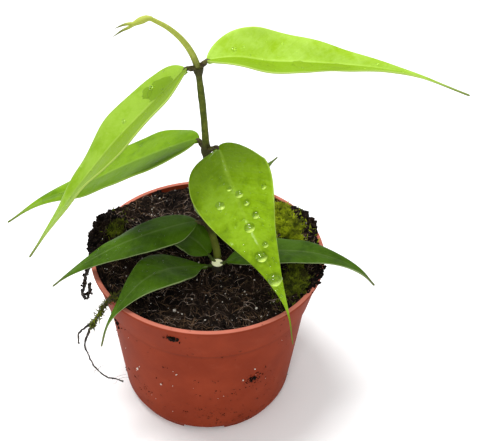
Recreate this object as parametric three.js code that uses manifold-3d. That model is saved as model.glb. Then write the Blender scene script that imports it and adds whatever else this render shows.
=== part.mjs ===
// A young hoya in a 10.5 cm nursery pot: an old cutting with two leaves, the vine that grew
// from it with three pairs of long-pointed leaves, and a new shoot at its tip.
// Millimetres, +Z up. The origin is the middle of the pot's base, on the ground.

import * as THREE from "three";
import { mergeVertices } from "three/addons/utils/BufferGeometryUtils.js";
import Module from "manifold-3d";

const wasm = await Module();
wasm.setup();

// ---------------------------------------------------------------- driving dimensions

const GAP = 0.3; // left between two pieces that touch
const STALK_GAP = 1.1; // between a node's bark and the stalk that grows out of it

const POT = {
  height: 79,
  rimRadius: 52.5,
  wall: 1.2,
  lipHeight: 1.8,
  lipOverhang: 0.8,
  collarDepth: 19, // from the rim down to the step
  collarTaper: 4.9, // how far the collar's lower edge lies inside the rim
  stepIn: 1.0, // how far the wall lies behind the collar
  wallTaper: 6.4, // from the step down to the rounded corner
  cornerRadius: 7,
  footReach: 0.64, // where the foot ring meets the corner, as a share of its radius
  footWidth: 1.6,
  footHeight: 2.0, // the floor's underside above the ground
  padRadius: 9, // the flat pad in the middle of the base
};
POT.collarRadius = POT.rimRadius - POT.collarTaper;
POT.baseRadius = POT.collarRadius - POT.stepIn - POT.wallTaper;
const NOTCH = { count: 4, width: 19, height: 1.7 }; // gaps in the foot ring
const DRAIN = { count: 8, radius: 3.4, circle: 24 }; // holes in the floor

const SOIL = {
  freeboard: 4, // the middle of the soil below the rim
  overhang: 1.4, // heaped soil beyond the rim, at most
  grain: 0.45, // height of its bumps
};
const MOSS_DEPTH = 1.8;

const CUTTING = { radius: 2.4, above: 2.6, buried: 24 };
const VINE = { baseRadius: 1.75, tipRadius: 1.35, nodeRadius: 2.3 };
const SHOOT = { baseRadius: 1.3, tipRadius: 0.85, budRadius: 1.35 };
const STALK_RADIUS = 0.95;
const LEAF_THICKNESS = 1.2;
const ROOT_RADIUS = { old: 1.1, tip: 0.45, curl: 0.8 };

const POT_SIDES = 64;
const SOIL_SPOKES = 48;

// ---------------------------------------------------------------- places

const SOIL_LEVEL = POT.height - SOIL.freeboard;

// A point of the plant, its height counted from the soil at the vine.
const at = (x, y, up) => new THREE.Vector3(x, y, SOIL_LEVEL + up);

// A point counted from the pot's rim: a direction in degrees, how far outside, how far above.
function byRim(degrees, out, up) {
  const angle = THREE.MathUtils.degToRad(degrees);
  const radius = POT.rimRadius + out;
  return new THREE.Vector3(radius * Math.cos(angle), radius * Math.sin(angle), POT.height + up);
}

// ---------------------------------------------------------------- solids and meshes

const meshes = [];

function add(name, geometry, look) {
  const mesh = new THREE.Mesh(geometry, new THREE.MeshStandardMaterial(look));
  mesh.name = name;
  meshes.push(mesh);
}

function solidOf(geometry) {
  const bare = geometry.clone();
  bare.deleteAttribute("normal");
  bare.deleteAttribute("uv");
  const merged = mergeVertices(bare, 1e-4);
  return new wasm.Manifold(
    new wasm.Mesh({
      numProp: 3,
      vertProperties: merged.attributes.position.array,
      triVerts: new Uint32Array(merged.index.array),
    }),
  );
}

function geometryOf(solid) {
  const mesh = solid.getMesh();
  const geometry = new THREE.BufferGeometry();
  geometry.setAttribute("position", new THREE.BufferAttribute(mesh.vertProperties, 3));
  geometry.setIndex(new THREE.BufferAttribute(mesh.triVerts, 1));
  geometry.computeVertexNormals();
  return geometry;
}

// Joins rings of points, each with the same count, into one closed surface with capped ends.
// The points of a ring run anticlockwise when seen from the far end.
function loft(rings) {
  const count = rings[0].length;
  const points = rings.flat();
  const faces = [];
  for (let i = 0; i + 1 < rings.length; i++) {
    for (let j = 0; j < count; j++) {
      const a = i * count + j;
      const b = i * count + ((j + 1) % count);
      faces.push(a, b, b + count, a, b + count, a + count);
    }
  }
  for (const [row, first, second] of [[0, 1, 0], [rings.length - 1, 0, 1]]) {
    const middle = rings[row].reduce((sum, p) => sum.add(p), new THREE.Vector3());
    points.push(middle.divideScalar(count));
    for (let j = 0; j < count; j++) {
      const pair = [row * count + j, row * count + ((j + 1) % count)];
      faces.push(points.length - 1, pair[first], pair[second]);
    }
  }
  const geometry = new THREE.BufferGeometry().setFromPoints(points);
  geometry.setIndex(faces);
  geometry.computeVertexNormals();
  return geometry;
}

// The part of a direction that is square to an axis, at unit length.
const square = (direction, axis) =>
  direction.clone().addScaledVector(axis, -direction.dot(axis)).normalize();

// A round stem along a smooth curve through points; radius(t) gives its size from 0 to 1.
function stem(points, radius, steps, sides = 8) {
  const curve = new THREE.CatmullRomCurve3(points, false, "centripetal");
  const rings = [];
  let side = square(new THREE.Vector3(0, 1, 0), curve.getTangentAt(0));
  for (let i = 0; i <= steps; i++) {
    const t = i / steps;
    const centre = curve.getPointAt(t);
    const tangent = curve.getTangentAt(t);
    side = square(side, tangent);
    const across = tangent.clone().cross(side);
    rings.push(
      Array.from({ length: sides }, (_, j) => {
        const angle = (2 * Math.PI * j) / sides;
        return centre
          .clone()
          .addScaledVector(side, radius(t) * Math.cos(angle))
          .addScaledVector(across, radius(t) * Math.sin(angle));
      }),
    );
  }
  return loft(rings);
}

const smooth = THREE.MathUtils.smoothstep;
const lerp = THREE.MathUtils.lerp;

// ---------------------------------------------------------------- pot

// The outside radius of the wall or the collar at a height.
function outsideAt(z) {
  const step = POT.height - POT.collarDepth;
  if (z >= step) {
    const share = (z - step) / (POT.collarDepth - POT.lipHeight);
    return lerp(POT.collarRadius, POT.rimRadius - POT.lipOverhang, Math.min(share, 1));
  }
  const share = (z - POT.cornerRadius) / (step - POT.cornerRadius);
  return lerp(POT.baseRadius, POT.collarRadius - POT.stepIn, share);
}

// A quarter round from the side wall to the floor, about the corner's own centre.
function corner(radius, centreRadius, centreHeight, steps = 4) {
  return Array.from({ length: steps + 1 }, (_, i) => {
    const angle = (Math.PI / 2) * (i / steps);
    return new THREE.Vector2(
      centreRadius + radius * Math.cos(angle),
      centreHeight - radius * Math.sin(angle),
    );
  });
}

const LIP_HEIGHT = POT.height - POT.lipHeight;
const STEP_HEIGHT = POT.height - POT.collarDepth;
const CORNER_CENTRE = POT.baseRadius - POT.cornerRadius;
const FLOOR_TOP = POT.footHeight + POT.wall;

// The pot's inside from the rim down to the middle of its floor, moved inwards by a clearance.
function insideProfile(clearance) {
  const shift = POT.wall + clearance;
  return [
    new THREE.Vector2(outsideAt(POT.height) - shift, POT.height),
    new THREE.Vector2(outsideAt(LIP_HEIGHT) - shift, LIP_HEIGHT),
    new THREE.Vector2(outsideAt(STEP_HEIGHT) - shift, STEP_HEIGHT),
    new THREE.Vector2(outsideAt(STEP_HEIGHT - 2) - shift, STEP_HEIGHT - 2),
    ...corner(
      POT.cornerRadius - POT.wall,
      CORNER_CENTRE - clearance,
      FLOOR_TOP + clearance + POT.cornerRadius - POT.wall,
    ),
    new THREE.Vector2(0, FLOOR_TOP + clearance),
  ];
}

function pot() {
  const footOut = CORNER_CENTRE + POT.footReach * POT.cornerRadius;
  const footIn = footOut - POT.footWidth;
  const profile = [
    [0, 0],
    [POT.padRadius, 0],
    [POT.padRadius + 0.6, POT.footHeight],
    [footIn, POT.footHeight],
    [footIn, 0],
    [footOut, 0],
  ].map(([r, z]) => new THREE.Vector2(r, z));
  const outer = corner(POT.cornerRadius, CORNER_CENTRE, POT.cornerRadius).reverse();
  profile.push(...outer.filter((p) => p.x > footOut + 0.5));
  profile.push(
    new THREE.Vector2(POT.collarRadius - POT.stepIn, STEP_HEIGHT - 1.2),
    new THREE.Vector2(POT.collarRadius, STEP_HEIGHT),
    new THREE.Vector2(POT.rimRadius - POT.lipOverhang, LIP_HEIGHT),
    new THREE.Vector2(POT.rimRadius, LIP_HEIGHT + 0.3),
    new THREE.Vector2(POT.rimRadius, POT.height - 0.3),
    new THREE.Vector2(POT.rimRadius - 0.3, POT.height),
    ...insideProfile(0),
  );
  let solid = solidOf(new THREE.LatheGeometry(profile, POT_SIDES).rotateX(Math.PI / 2));
  for (let i = 0; i < NOTCH.count; i++) {
    const notch = new THREE.BoxGeometry(4 * POT.footWidth + 8, NOTCH.width, 2 * NOTCH.height);
    notch.translate(footOut - 1, 0, 0);
    notch.rotateZ(-Math.PI / 2 + (2 * Math.PI * i) / NOTCH.count);
    solid = solid.subtract(solidOf(notch));
  }
  for (let i = 0; i < DRAIN.count; i++) {
    const hole = new THREE.CylinderGeometry(DRAIN.radius, DRAIN.radius, 4 * FLOOR_TOP, 12);
    hole.rotateX(Math.PI / 2);
    hole.translate(DRAIN.circle, 0, 0);
    hole.rotateZ((2 * Math.PI * (i + 0.5)) / DRAIN.count);
    solid = solid.subtract(solidOf(hole));
  }
  return geometryOf(solid);
}

// ---------------------------------------------------------------- soil and moss

// The radius to which soil or moss may reach inside the collar at a height.
const insideAt = (z) => outsideAt(Math.min(z, POT.height)) - POT.wall - GAP;

// The soil at the wall, above or below the rim, by direction in degrees.
const HEAP = [
  [0, 0.2],
  [20, 3.6],
  [34, 2.6],
  [48, -0.6],
  [95, -1.8],
  [132, -0.4],
  [162, 5.2],
  [187, 4.0],
  [203, 0.4],
  [235, -4.0],
  [270, -5.2],
  [305, -4.4],
  [330, -2.2],
  [345, 1.8],
  [360, 0.2],
];

function heapAt(degrees) {
  const angle = ((degrees % 360) + 360) % 360;
  const i = HEAP.findIndex(([a]) => a >= angle) || 1;
  const [[a0, h0], [a1, h1]] = [HEAP[i - 1], HEAP[i]];
  return lerp(h0, h1, smooth(angle, a0, a1));
}

// Height of the soil's surface above the rim, with share 0 at the middle and 1 at the edge.
function surface(degrees, share) {
  const angle = THREE.MathUtils.degToRad(degrees);
  const bumps =
    Math.sin(7 * share + 3 * angle) + Math.sin(19 * share - 5 * angle) + Math.cos(11 * angle);
  const dish = lerp(-SOIL.freeboard, heapAt(degrees), share ** 2.2);
  return dish + (SOIL.grain * bumps * share * (1 - share ** 6)) / 1.5;
}

function soilBody() {
  const levels = insideProfile(GAP).slice(1, -1).reverse();
  const over = POT.rimRadius + SOIL.overhang - insideAt(POT.height);
  const shares = [0.97, 0.88, 0.76, 0.62, 0.47, 0.32, 0.16];
  const spokes = Array.from({ length: SOIL_SPOKES }, (_, i) => (360 * i) / SOIL_SPOKES);
  const profileAt = (degrees) => {
    const edge = heapAt(degrees);
    const beside = 360 / SOIL_SPOKES;
    const least = Math.min(heapAt(degrees - beside), edge, heapAt(degrees + beside));
    const reach = over * smooth(least, 0.9, 3);
    const shoulder = POT.height + Math.min(edge - 0.6, GAP);
    const wall = insideAt(shoulder);
    const outline = levels.map((p) => [p.x, p.y]);
    outline.push([insideAt(POT.height - 9), POT.height - 9]);
    outline.push([wall, shoulder - 0.1]);
    outline.push([wall + reach * 0.9 - 0.1, shoulder]);
    outline.push([wall + reach - 0.2, lerp(shoulder, POT.height + edge, 0.5)]);
    const rim = wall + reach - 0.4;
    for (const share of shares) {
      outline.push([rim * share, POT.height + surface(degrees, share)]);
    }
    return outline;
  };
  const columns = spokes.map(profileAt);
  const rings = columns[0].map((_, row) =>
    spokes.map((degrees, i) => {
      const [radius, z] = columns[i][row];
      const angle = THREE.MathUtils.degToRad(degrees);
      return new THREE.Vector3(radius * Math.cos(angle), radius * Math.sin(angle), z);
    }),
  );
  return solidOf(loft(rings));
}

// The room inside the collar and above it, a little clear of the soil's side.
function collarRoom() {
  const profile = [
    [0, STEP_HEIGHT],
    [insideAt(STEP_HEIGHT) - GAP, STEP_HEIGHT],
    [insideAt(LIP_HEIGHT) - GAP, LIP_HEIGHT],
    [insideAt(POT.height) - GAP, POT.height + 20],
    [0, POT.height + 20],
  ].map(([r, z]) => new THREE.Vector2(r, z));
  return solidOf(new THREE.LatheGeometry(profile, POT_SIDES).rotateX(Math.PI / 2));
}

// A low cushion of moss round a point by the rim, with its underside cut to the soil.
function mossPad(degrees, out, length, width, soil) {
  const middle = byRim(degrees, out, 0);
  const turn = THREE.MathUtils.degToRad(degrees + 90);
  const columns = 20;
  const share = Math.hypot(middle.x, middle.y) / POT.rimRadius;
  const top = POT.height + surface(degrees, share) + MOSS_DEPTH;
  const levels = [[1.0, -9], [1.0, -1.6], [0.86, -0.5], [0.5, 0]];
  const rings = levels.map(([spread, drop]) =>
    Array.from({ length: columns }, (_, j) => {
      const angle = (2 * Math.PI * j) / columns;
      const ragged = 1 + 0.12 * Math.sin(3 * angle + degrees) + 0.06 * Math.sin(7 * angle);
      const u = length * spread * ragged * Math.cos(angle);
      const v = width * spread * ragged * Math.sin(angle);
      return new THREE.Vector3(
        middle.x + u * Math.cos(turn) - v * Math.sin(turn),
        middle.y + u * Math.sin(turn) + v * Math.cos(turn),
        top + drop,
      );
    }),
  );
  const pad = solidOf(loft(rings)).intersect(collarRoom());
  const cut = pad.subtract(soil.translate([0, 0, GAP]));
  const upper = cut.decompose().find((piece) => piece.boundingBox().max[2] > top - 0.01);
  return geometryOf(upper);
}

// ---------------------------------------------------------------- plant

const NODES = {
  low: at(0.4, -1, 19.9),
  middle: at(-1, -1, 59.3),
  top: at(-4.2, -1, 97.8),
};
const CUT_TOP = at(4.5, -7.6, CUTTING.above);

function vine() {
  const points = [
    at(4.2, -2.2, 0.6),
    at(4.0, -2.4, 5),
    at(2.6, -2, 12),
    NODES.low,
    at(-0.8, -1, 38),
    NODES.middle,
    at(-2.2, -1, 78),
    NODES.top,
  ];
  const curve = new THREE.CatmullRomCurve3(points, false, "centripetal");
  const knots = Object.values(NODES);
  const radius = (t) => {
    const here = curve.getPointAt(t);
    const nearest = Math.min(...knots.map((node) => node.distanceTo(here)));
    const plain = lerp(VINE.baseRadius, VINE.tipRadius, t);
    return lerp(VINE.nodeRadius, plain, smooth(nearest, 0, 2 * VINE.nodeRadius));
  };
  return stem(points, radius, 42, 10);
}

function cutting() {
  const low = CUT_TOP.clone().setZ(SOIL_LEVEL - CUTTING.buried);
  return stem([low, CUT_TOP], () => CUTTING.radius, 4, 14);
}

function shoot() {
  const start = NODES.top.clone().add(new THREE.Vector3(-0.3, 0, VINE.nodeRadius * 0.2 + GAP));
  const points = [start, at(-6.4, -2, 104.4), at(-10, -4, 111.3), at(-15, -6, 117.2)];
  points.push(at(-20.6, -7.8, 121.6));
  return stem(points, (t) => lerp(SHOOT.baseRadius, SHOOT.tipRadius, t), 18);
}

// The folded bud at the shoot's end, swollen in its middle.
function bud() {
  const points = [at(-21.3, -7.95, 121.9), at(-24.6, -8.5, 121.2), at(-28.0, -9, 119.6)];
  const radius = (t) => lerp(0.8, SHOOT.budRadius, Math.sin(Math.PI * Math.min(1, t + 0.12)));
  return stem(points, radius, 8);
}

// How wide a blade is along its length, as a share of its widest: it rises from the stalk over
// its shoulder and runs out to a long point.
function outlineAt(t, shoulder, point) {
  const widest = shoulder / (shoulder + point);
  const shape = (s) => s ** shoulder * (1 - s) ** point;
  return shape(t) / shape(widest);
}

const BLADE_STEPS = 18;
const RING_POINTS = 12;

// A leaf with its stalk. Its path starts at the node it grows from; the stalk ends and the
// blade begins at the second point. The blade's upper side faces the given direction.
function leaf({ node, nodeRadius, path, width, fold, shoulder, point, face }) {
  const start = node.clone();
  start.addScaledVector(path[0].clone().sub(node).normalize(), nodeRadius + STALK_GAP);
  const points = [start, ...path];
  const curve = new THREE.CatmullRomCurve3(points, false, "centripetal");
  curve.arcLengthDivisions = 400;
  const whole = curve.getLength();
  const stalkShare = start.distanceTo(path[0]) / whole;
  const facing = new THREE.Vector3(...face);
  const angle = THREE.MathUtils.degToRad(fold);
  const ringAt = (t) => {
    const centre = curve.getPointAt(t);
    const tangent = curve.getTangentAt(t);
    const up = square(facing, tangent);
    const side = tangent.clone().cross(up);
    const along = Math.max(0, (t - stalkShare) / (1 - stalkShare));
    const blade = 0.5 * width * outlineAt(along, shoulder, point);
    const halfWidth = Math.max(blade, STALK_RADIUS * (1 - 0.7 * along));
    const flat = Math.min(1, blade / (3 * STALK_RADIUS));
    const halfThick = lerp(STALK_RADIUS, 0.5 * LEAF_THICKNESS, flat) * (1 - 0.6 * along);
    return Array.from({ length: RING_POINTS }, (_, j) => {
      const turn = (2 * Math.PI * j) / RING_POINTS;
      const u = Math.cos(turn);
      const lift = halfWidth * Math.abs(u) * Math.sin(angle) * flat;
      return centre
        .clone()
        .addScaledVector(side, halfWidth * u * lerp(1, Math.cos(angle), flat))
        .addScaledVector(up, halfThick * Math.sin(turn) + lift);
    });
  };
  const steps = [0, 0.5 * stalkShare, stalkShare];
  for (let i = 1; i <= BLADE_STEPS; i++) {
    const share = (i / BLADE_STEPS) ** 1.35;
    steps.push(stalkShare + (0.995 - stalkShare) * share);
  }
  return loft(steps.map(ringAt).map((ring) => ring.reverse()));
}

// The leaves, each with the path of its midrib from the stalk's end to the tip.
const LEAVES = {
  leaf_top_right: {
    node: NODES.top,
    path: [
      at(-0.7, -1, 101.0),
      at(10.4, 1, 101.8),
      at(23.6, 3, 99.6),
      at(50.1, 6, 97.3),
      at(79.3, 6, 94.0),
      at(104.5, 4, 86.0),
    ],
    width: 28, fold: 29, shoulder: 0.72, point: 2.7, face: [0.1, -0.2, 0.95],
  },
  leaf_top_left: {
    node: NODES.top,
    path: [
      at(-8.7, -4, 98.9),
      at(-18.8, -10, 90.1),
      at(-31.6, -18, 78.8),
      at(-47.4, -25, 60.8),
      at(-60.6, -28, 41.5),
      at(-72.8, -30, 22.4),
    ],
    width: 30, fold: 16, shoulder: 0.58, point: 1.9, face: [-0.7, -0.15, 0.66],
  },
  leaf_middle_left: {
    node: NODES.middle,
    path: [
      at(-4.4, 1, 62.8),
      at(-17.1, 3, 56.7),
      at(-33.7, 5, 46.9),
      at(-56.2, 6, 33.2),
      at(-74.7, 6, 23.7),
      at(-90.6, 5, 11.9),
    ],
    width: 29, fold: 8, shoulder: 0.6, point: 1.7, face: [-0.5, 0.04, 0.86],
  },
  leaf_middle_front: {
    node: NODES.middle,
    path: [
      at(4.1, -6, 63.9),
      at(8.5, -14, 56.4),
      at(16.4, -28, 44.6),
      byRim(303.3, -3.4, 25.7),
      byRim(305, 7.4, 10.5),
      byRim(305.1, 12.2, -4.2),
    ],
    width: 36, fold: 17, shoulder: 0.68, point: 3, face: [-0.12, -0.8, 0.6],
  },
  leaf_low_left: {
    node: NODES.low,
    path: [
      at(-4.9, -2.4, 21.9),
      at(-10.5, -4, 21.9),
      at(-22.6, -9, 21.0),
      byRim(201.7, -14.7, 14.5),
      byRim(200.6, -1.4, 8.9),
      byRim(199, 8.9, 2.2),
      byRim(198.2, 18, -5.1),
    ],
    width: 19, fold: -4, shoulder: 0.6, point: 1.7, face: [0, 0, 1],
  },
  leaf_low_back: {
    node: NODES.low,
    path: [
      at(1.2, 3.6, 18.4),
      at(7.3, 18, 15.3),
      at(15.8, 32, 15.4),
      at(23.7, 44, 16.8),
      at(31.2, 52, 19.6),
    ],
    width: 28, fold: 8, shoulder: 0.55, point: 1.7, face: [0, 0, 1],
  },
  leaf_base_front: {
    node: CUT_TOP.clone().setZ(SOIL_LEVEL + 1.6),
    nodeRadius: CUTTING.radius,
    path: [
      at(-0.2, -9.2, 2.6),
      at(-9.3, -15.6, 7.2),
      at(-18.2, -23.4, 11.6),
      byRim(231.1, -12, 9.3),
      byRim(229.6, -1.8, 4.6),
      byRim(227.9, 6.8, -4.5),
      byRim(228.3, 11.8, -14.3),
    ],
    width: 22, fold: 6, shoulder: 1.6, point: 3.3, face: [0, 0, 1],
  },
  leaf_base_right: {
    node: CUT_TOP.clone().setZ(SOIL_LEVEL + 1.6),
    nodeRadius: CUTTING.radius,
    path: [
      at(8.6, -7.8, 4.2),
      at(14.4, -7, 6.5),
      at(24.1, -6, 9.0),
      byRim(349.1, -15.5, 6.9),
      byRim(349.5, -3.2, 7.1),
      byRim(348.7, 9, 5.3),
      byRim(348.4, 16.9, 1.5),
      byRim(347.8, 23.3, -4.1),
    ],
    width: 17, fold: 8, shoulder: 0.75, point: 1.6, face: [0, 0, 1],
  },
  leaf_base_small: {
    node: CUT_TOP.clone().setZ(SOIL_LEVEL + 1.6),
    nodeRadius: CUTTING.radius,
    path: [
      at(0.2, -4.2, 5.0),
      at(-5.3, 0.2, 8.6),
      at(-12.2, 4.4, 9.6),
      at(-19.4, 8.2, 8.8),
      at(-27.2, 11.5, 7.6),
    ],
    width: 19, fold: 8, shoulder: 0.6, point: 1.1, face: [0, -0.2, 1],
  },
};

const BUD_LEAVES = {
  upper: [at(-28.4, -9.4, 120.4), at(-31.2, -9.9, 119.9), at(-34.1, -10.4, 118.8)],
  lower: [at(-28.5, -8.4, 118.6), at(-31, -8.2, 117.3), at(-35.4, -7.8, 113.8)],
};

// One of the two unopened leaves of the bud.
function budLeaf(points) {
  return stem(points, (t) => lerp(0.75, 0.2, t), 6, 6);
}

// Dead roots that lie on the rim and hang outside it.
function looseRoot() {
  const points = [
    byRim(221.8, -9, -0.3),
    byRim(222, -3, 1.6),
    byRim(222, 1.4, 1.6),
    byRim(221, 7.3, -6),
    byRim(217.7, 10.4, -16),
    byRim(216.7, 12, -24),
    byRim(216.5, 10.9, -30),
    byRim(218.1, 9, -38),
    byRim(220.3, 5.7, -44),
    byRim(224.3, -1.1, -49),
  ];
  return stem(points, (t) => lerp(ROOT_RADIUS.old, ROOT_RADIUS.tip, smooth(t, 0, 0.5)), 34, 6);
}

function curledRoot() {
  const points = [
    byRim(197.5, -1, 3.4),
    byRim(200.5, 2.6, 2.4),
    byRim(202.5, 4.6, -3),
    byRim(202.5, 5.8, -8),
    byRim(202, 4.2, -12),
    byRim(200.5, 2.4, -9.5),
    byRim(199.5, 2.2, -6),
  ];
  return stem(points, () => ROOT_RADIUS.curl, 20, 6);
}

// ---------------------------------------------------------------- assembly

const TERRACOTTA = { color: 0x9c4a30, roughness: 0.5, metalness: 0 };
const PEAT = { color: 0x1d1410, roughness: 0.95, metalness: 0 };
const MOSS = { color: 0x54701c, roughness: 0.95, metalness: 0 };
const YOUNG_LEAF = { color: 0x8cc63a, roughness: 0.4, metalness: 0 };
const OLD_LEAF = { color: 0x2f6420, roughness: 0.4, metalness: 0 };
const BARK = { color: 0x5c6a28, roughness: 0.6, metalness: 0 };
const NEW_SHOOT = { color: 0xa9b545, roughness: 0.5, metalness: 0 };
const DRY_ROOT = { color: 0x2a231c, roughness: 0.9, metalness: 0 };

const cuttingGeometry = cutting();
const socket = stem(
  [CUT_TOP.clone().setZ(SOIL_LEVEL - CUTTING.buried - GAP), CUT_TOP.clone().setZ(POT.height + 20)],
  () => CUTTING.radius + GAP,
  4,
  14,
);
const soil = soilBody().subtract(solidOf(socket));

add("pot", pot(), TERRACOTTA);
add("soil", geometryOf(soil), PEAT);
add("moss_back_right", mossPad(31, -10.5, 14, 9, soil), MOSS);
add("moss_front_right", mossPad(339, -9, 11, 6.5, soil), MOSS);
add("moss_left", mossPad(168, -9, 6, 3.4, soil), MOSS);
add("old_cutting", cuttingGeometry, BARK);
add("vine_stem", vine(), BARK);
add("new_shoot", shoot(), NEW_SHOOT);
add("tip_bud", bud(), NEW_SHOOT);
add("bud_leaf_upper", budLeaf(BUD_LEAVES.upper), NEW_SHOOT);
add("bud_leaf_lower", budLeaf(BUD_LEAVES.lower), NEW_SHOOT);
for (const [name, shape] of Object.entries(LEAVES)) {
  const look = name.includes("top") || name.includes("middle") ? YOUNG_LEAF : OLD_LEAF;
  add(name, leaf({ nodeRadius: VINE.nodeRadius, ...shape }), look);
}
add("loose_root", looseRoot(), DRY_ROOT);
add("curled_root", curledRoot(), DRY_ROOT);

const hoya = new THREE.Group();
hoya.add(...meshes);
export default hoya;
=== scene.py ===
# %% [markdown]
# # A young hoya in a nursery pot
#
# The plant is an old cutting with leaves at its foot, the vine that grew from it with pairs of
# long-pointed leaves, and a new shoot that arches away at the top. It stands in dark peat in a
# thin terracotta-coloured pot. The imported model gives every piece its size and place; here each
# piece gets its real surface.
#
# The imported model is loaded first, and its box is kept, so that the finished pieces can be
# compared with it at the end.

import math
import random

import bpy
import numpy as np
from mathutils import Matrix, Vector, noise
from mathutils.bvhtree import BVHTree


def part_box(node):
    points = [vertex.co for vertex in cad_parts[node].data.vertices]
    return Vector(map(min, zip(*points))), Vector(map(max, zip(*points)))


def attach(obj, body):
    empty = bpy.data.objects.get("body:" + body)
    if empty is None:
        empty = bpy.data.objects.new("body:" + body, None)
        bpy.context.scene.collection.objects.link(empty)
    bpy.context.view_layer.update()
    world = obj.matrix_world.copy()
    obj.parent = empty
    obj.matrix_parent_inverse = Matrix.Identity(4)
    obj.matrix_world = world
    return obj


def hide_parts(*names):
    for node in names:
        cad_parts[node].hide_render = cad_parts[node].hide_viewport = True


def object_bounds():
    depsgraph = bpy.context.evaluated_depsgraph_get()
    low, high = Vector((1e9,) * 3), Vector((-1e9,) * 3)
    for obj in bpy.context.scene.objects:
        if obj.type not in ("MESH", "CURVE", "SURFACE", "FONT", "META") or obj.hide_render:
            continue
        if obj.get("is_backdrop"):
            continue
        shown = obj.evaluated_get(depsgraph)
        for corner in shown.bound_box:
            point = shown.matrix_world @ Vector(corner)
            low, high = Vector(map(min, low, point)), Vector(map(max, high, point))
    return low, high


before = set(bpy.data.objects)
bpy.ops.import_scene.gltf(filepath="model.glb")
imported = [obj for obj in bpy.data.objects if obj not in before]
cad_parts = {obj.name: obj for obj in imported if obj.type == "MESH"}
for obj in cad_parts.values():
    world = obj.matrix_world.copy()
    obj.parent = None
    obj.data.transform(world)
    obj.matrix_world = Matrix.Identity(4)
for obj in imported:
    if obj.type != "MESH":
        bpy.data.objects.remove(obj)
cad_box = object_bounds()
MM = 0.001
POT_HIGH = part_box("pot")[1]
RIM_RADIUS = POT_HIGH.x
RIM_HEIGHT = POT_HIGH.z
SOIL_LEVEL = RIM_HEIGHT - 4 * MM
SOIL_REACH = 49 * MM
print("pot", round(2 * RIM_RADIUS / MM, 1), "mm wide,", round(RIM_HEIGHT / MM, 1), "mm high")

# %% [markdown]
# ## Working by hand, in code
#
# Every operator works on what is selected, so a piece is always taken alone first. A modifier
# is added, set and applied in one go, which keeps each piece plain mesh.


# %% Taking a piece and changing it
def take(*pieces):
    if bpy.context.object and bpy.context.object.mode != "OBJECT":
        bpy.ops.object.mode_set(mode="OBJECT")
    bpy.ops.object.select_all(action="DESELECT")
    for piece in pieces:
        piece.select_set(True)
    bpy.context.view_layer.objects.active = pieces[0] if pieces else None


def modify(piece, kind, **settings):
    take(piece)
    bpy.ops.object.modifier_add(type=kind)
    modifier = piece.modifiers[-1]
    for key, value in settings.items():
        setattr(modifier, key, value)
    bpy.ops.object.modifier_apply(modifier=modifier.name)


def settle(piece, angle=40):
    take(piece)
    bpy.ops.object.transform_apply(location=True, rotation=True, scale=True)
    bpy.ops.object.shade_smooth_by_angle(angle=math.radians(angle))


def join(name, *pieces):
    take(*pieces)
    if len(pieces) > 1:
        bpy.ops.object.join()
    pieces[0].name = name
    pieces[0].data.name = name
    return pieces[0]


def place(piece, slot, *nodes):
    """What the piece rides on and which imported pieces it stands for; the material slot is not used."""
    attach(piece, "root")
    if nodes:
        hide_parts(*nodes)
    print(piece.name, len(piece.data.polygons), "faces")


def dress(piece, material, slot, *nodes, angle=40):
    settle(piece, angle)
    piece.data.materials.append(material)
    place(piece, slot, *nodes)


def new_piece(name, data):
    piece = bpy.data.objects.new(name, data)
    bpy.context.scene.collection.objects.link(piece)
    return piece


def mode(kind):
    bpy.ops.object.mode_set(mode=kind)


def vector(values):
    return Vector(values.tolist())


# %% [markdown]
# ## Writing finishes as sums
#
# A finish is easier to read as arithmetic than as a web of nodes. `Field` wraps one shader
# value, so that `1 - mask` or `wet * 0.5` adds the Math node by itself, and `Finish` wraps a
# material with one method that adds any other node.


# %% Shader arithmetic
class Field:
    def __init__(self, finish, socket):
        self.finish = finish
        self.socket = socket

    def math(self, operation, *values):
        names = dict(enumerate(values))
        return self.finish.node("ShaderNodeMath", {"operation": operation}, sockets=names)

    def __add__(self, other):
        return self.math("ADD", self, other)

    def __sub__(self, other):
        return self.math("SUBTRACT", self, other)

    def __rsub__(self, other):
        return self.math("SUBTRACT", other, self)

    def __mul__(self, other):
        return self.math("MULTIPLY", self, other)

    def __truediv__(self, other):
        return self.math("DIVIDE", self, other)

    def __abs__(self):
        return self.math("ABSOLUTE", self)

    __radd__ = __add__
    __rmul__ = __mul__

    def most(self, other):
        return self.math("MAXIMUM", self, other)

    def rise(self, low, high):
        """0 below low, 1 above high, with a soft step between; low may be the larger."""
        settings = {"interpolation_type": "SMOOTHSTEP"}
        sockets = {"Value": self, "From Min": low, "From Max": high}
        return self.finish.node("ShaderNodeMapRange", settings, sockets=sockets)


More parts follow.
